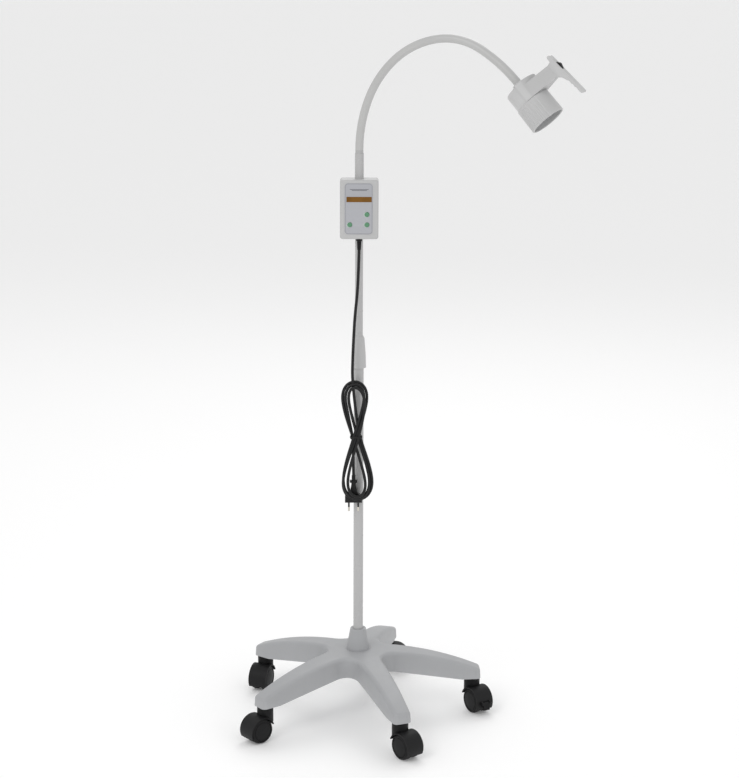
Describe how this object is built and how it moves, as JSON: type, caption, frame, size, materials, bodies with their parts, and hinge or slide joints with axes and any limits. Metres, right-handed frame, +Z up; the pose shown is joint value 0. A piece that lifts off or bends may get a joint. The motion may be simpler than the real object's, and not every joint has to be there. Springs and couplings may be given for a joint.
{
  "type": "curing light",
  "caption": "Mobile curing light: castor star base, telescopic column with control box, gooseneck arm and lamp head with T-grip handle, mains cord and plug.",
  "frame": {"origin": "on the floor, on the axis of the column", "axes": "+Z up along the column, -Y out of the control panel, gooseneck leaning to +X"},
  "size_m": [0.6567, 0.5314, 1.4091],
  "materials": {
    "white_plastic": "satin",
    "base_plastic": "satin",
    "painted_tube": "satin",
    "black_plastic": "satin",
    "wheel_plastic": "matte",
    "steel": "brushed",
    "sleeve": "satin",
    "film": "satin",
    "amber_window": "gloss",
    "green_key": "satin",
    "board": "matte",
    "display": "gloss",
    "lens_clear": "clear",
    "aluminium": "satin",
    "cord_black": "satin",
    "brass": "polished"
  },
  "bodies": {
    "base": {"base_star": "base_plastic", "hub_cone": "base_plastic", "base_nut": "steel", "lower_tube": "painted_tube", "tube_collet": "white_plastic"},
    "collar": {"lock_collar": "white_plastic"},
    "castor_1": {"castor_1_hood": "black_plastic", "castor_1_pins": "steel"},
    "castor_1_left": {"castor_1_wheel_left": "wheel_plastic"},
    "castor_1_right": {"castor_1_wheel_right": "wheel_plastic"},
    "brake": {"brake_tab": "black_plastic"},
    "castor_2": {"castor_2_hood": "black_plastic", "castor_2_pins": "steel"},
    "castor_2_left": {"castor_2_wheel_left": "wheel_plastic"},
    "castor_2_right": {"castor_2_wheel_right": "wheel_plastic"},
    "castor_3": {"castor_3_hood": "black_plastic", "castor_3_pins": "steel"},
    "castor_3_left": {"castor_3_wheel_left": "wheel_plastic"},
    "castor_3_right": {"castor_3_wheel_right": "wheel_plastic"},
    "castor_4": {"castor_4_hood": "black_plastic", "castor_4_pins": "steel"},
    "castor_4_left": {"castor_4_wheel_left": "wheel_plastic"},
    "castor_4_right": {"castor_4_wheel_right": "wheel_plastic"},
    "castor_5": {"castor_5_hood": "black_plastic", "castor_5_pins": "steel"},
    "castor_5_left": {"castor_5_wheel_left": "wheel_plastic"},
    "castor_5_right": {"castor_5_wheel_right": "wheel_plastic"},
    "glide": {"glide_bush": "white_plastic"},
    "column": {"upper_tube": "painted_tube", "box_front": "white_plastic", "box_rear": "white_plastic", "box_screws": "steel", "panel_overlay": "film", "display_window": "amber_window", "display_module": "display", "circuit_board": "board", "pole_bracket": "white_plastic", "cord_gland": "black_plastic", "neck_ferrule": "painted_tube", "cord_lead": "cord_black", "cord_hank": "cord_black", "cord_tail": "cord_black", "plug": "cord_black", "plug_pins": "brass"},
    "button_upper": {"button_upper": "green_key"},
    "button_lower": {"button_lower": "green_key"},
    "button_left": {"button_left": "green_key"},
    "neck_1": {"neck_1": "sleeve"},
    "neck_2": {"neck_2": "sleeve"},
    "neck_3": {"neck_3": "sleeve"},
    "neck_4": {"neck_4": "sleeve"},
    "neck_5": {"neck_5": "sleeve"},
    "head": {"neck_collar": "white_plastic", "rear_housing": "white_plastic", "barrel": "white_plastic", "handle": "white_plastic", "lens": "lens_clear", "led_board": "board", "heat_sink": "aluminium"},
    "trigger": {"trigger_switch": "black_plastic"}
  },
  "joints": [
    {"name": "collar_twist", "type": "hinge", "parent": "base", "child": "collar", "pos_m": [0, 0, 0.741], "axis": [0, 0, 1], "range_deg": [0, 75]},
    {"name": "castor_1_swivel", "type": "hinge", "parent": "base", "child": "castor_1", "pos_m": [0.23977, 0.01047, 0.0715], "axis": [0, 0, 1], "continuous": true},
    {"name": "castor_1_left_roll", "type": "hinge", "parent": "castor_1", "child": "castor_1_left", "pos_m": [0.25037, -0.00649, 0.026], "axis": [0.848, 0.5299, 0], "continuous": true},
    {"name": "castor_1_right_roll", "type": "hinge", "parent": "castor_1", "child": "castor_1_right", "pos_m": [0.25037, -0.00649, 0.026], "axis": [0.848, 0.5299, 0], "continuous": true},
    {"name": "brake_rock", "type": "hinge", "parent": "castor_1", "child": "brake", "pos_m": [0.26717, -0.03338, 0.028], "axis": [0.848, 0.5299, 0], "range_deg": [0, 16]},
    {"name": "castor_2_swivel", "type": "hinge", "parent": "base", "child": "castor_2", "pos_m": [0.06414, 0.23127, 0.0715], "axis": [0, 0, 1], "continuous": true},
    {"name": "castor_2_left_roll", "type": "hinge", "parent": "castor_2", "child": "castor_2_left", "pos_m": [0.08406, 0.23301, 0.026], "axis": [-0.0872, 0.9962, 0], "continuous": true},
    {"name": "castor_2_right_roll", "type": "hinge", "parent": "castor_2", "child": "castor_2_right", "pos_m": [0.08406, 0.23301, 0.026], "axis": [-0.0872, 0.9962, 0], "continuous": true},
    {"name": "castor_3_swivel", "type": "hinge", "parent": "base", "child": "castor_3", "pos_m": [-0.20013, 0.13246, 0.0715], "axis": [0, 0, 1], "continuous": true},
    {"name": "castor_3_left_roll", "type": "hinge", "parent": "castor_3", "child": "castor_3_left", "pos_m": [-0.20697, 0.11367, 0.026], "axis": [0.9397, -0.342, 0], "continuous": true},
    {"name": "castor_3_right_roll", "type": "hinge", "parent": "castor_3", "child": "castor_3_right", "pos_m": [-0.20697, 0.11367, 0.026], "axis": [0.9397, -0.342, 0], "continuous": true},
    {"name": "castor_4_swivel", "type": "hinge", "parent": "base", "child": "castor_4", "pos_m": [-0.18783, -0.1494, 0.0715], "axis": [0, 0, 1], "continuous": true},
    {"name": "castor_4_left_roll", "type": "hinge", "parent": "castor_4", "child": "castor_4_left", "pos_m": [-0.20321, -0.16218, 0.026], "axis": [0.6388, -0.7694, 0], "continuous": true},
    {"name": "castor_4_right_roll", "type": "hinge", "parent": "castor_4", "child": "castor_4_right", "pos_m": [-0.20321, -0.16218, 0.026], "axis": [0.6388, -0.7694, 0], "continuous": true},
    {"name": "castor_5_swivel", "type": "hinge", "parent": "base", "child": "castor_5", "pos_m": [0.08405, -0.2248, 0.0715], "axis": [0, 0, 1], "continuous": true},
    {"name": "castor_5_left_roll", "type": "hinge", "parent": "castor_5", "child": "castor_5_left", "pos_m": [0.0965, -0.24045, 0.026], "axis": [0.7826, 0.6225, 0], "continuous": true},
    {"name": "castor_5_right_roll", "type": "hinge", "parent": "castor_5", "child": "castor_5_right", "pos_m": [0.0965, -0.24045, 0.026], "axis": [0.7826, 0.6225, 0], "continuous": true},
    {"name": "column_height", "type": "slide", "parent": "base", "child": "glide", "axis": [0, 0, 1], "range_m": [-0.12, 0.3]},
    {"name": "column_swivel", "type": "hinge", "parent": "glide", "child": "column", "pos_m": [0, 0, 0.388], "axis": [0, 0, 1], "range_deg": [-170, 170]},
    {"name": "button_upper_press", "type": "slide", "parent": "column", "child": "button_upper", "axis": [0, 1, 0], "range_m": [0, 0.0009], "stiffness_N_per_m": 900},
    {"name": "button_lower_press", "type": "slide", "parent": "column", "child": "button_lower", "axis": [0, 1, 0], "range_m": [0, 0.0009], "stiffness_N_per_m": 900},
    {"name": "button_left_press", "type": "slide", "parent": "column", "child": "button_left", "axis": [0, 1, 0], "range_m": [0, 0.0009], "stiffness_N_per_m": 900},
    {"name": "neck_1_sway", "type": "hinge", "parent": "column", "child": "neck_1", "pos_m": [0, 0, 1.179], "axis": [0.891, -0.454, 0], "range_deg": [-18, 18]},
    {"name": "neck_2_bow", "type": "hinge", "parent": "neck_1", "child": "neck_2", "pos_m": [0.01614, -0.00822, 1.27508], "axis": [0.454, 0.891, 0], "range_deg": [-18, 18]},
    {"name": "neck_3_sway", "type": "hinge", "parent": "neck_2", "child": "neck_3", "pos_m": [0.06556, -0.0334, 1.35521], "axis": [0.5959, -0.3036, -0.7435], "range_deg": [-18, 18]},
    {"name": "neck_4_bow", "type": "hinge", "parent": "neck_3", "child": "neck_4", "pos_m": [0.14302, -0.07287, 1.39857], "axis": [0.454, 0.891, 0], "range_deg": [-18, 18]},
    {"name": "neck_5_sway", "type": "hinge", "parent": "neck_4", "child": "neck_5", "pos_m": [0.22777, -0.11605, 1.38333], "axis": [-0.4352, 0.2218, -0.8726], "range_deg": [-18, 18]},
    {"name": "head_nod", "type": "hinge", "parent": "neck_5", "child": "head", "pos_m": [0.29651, -0.15108, 1.32297], "axis": [0.454, 0.891, 0], "range_deg": [-18, 18]},
    {"name": "trigger_rock", "type": "hinge", "parent": "head", "child": "trigger", "pos_m": [0.36813, -0.18757, 1.35859], "axis": [0.454, 0.891, 0], "range_deg": [-5, 5], "stiffness_Nm_per_rad": 0.4}
  ]
}
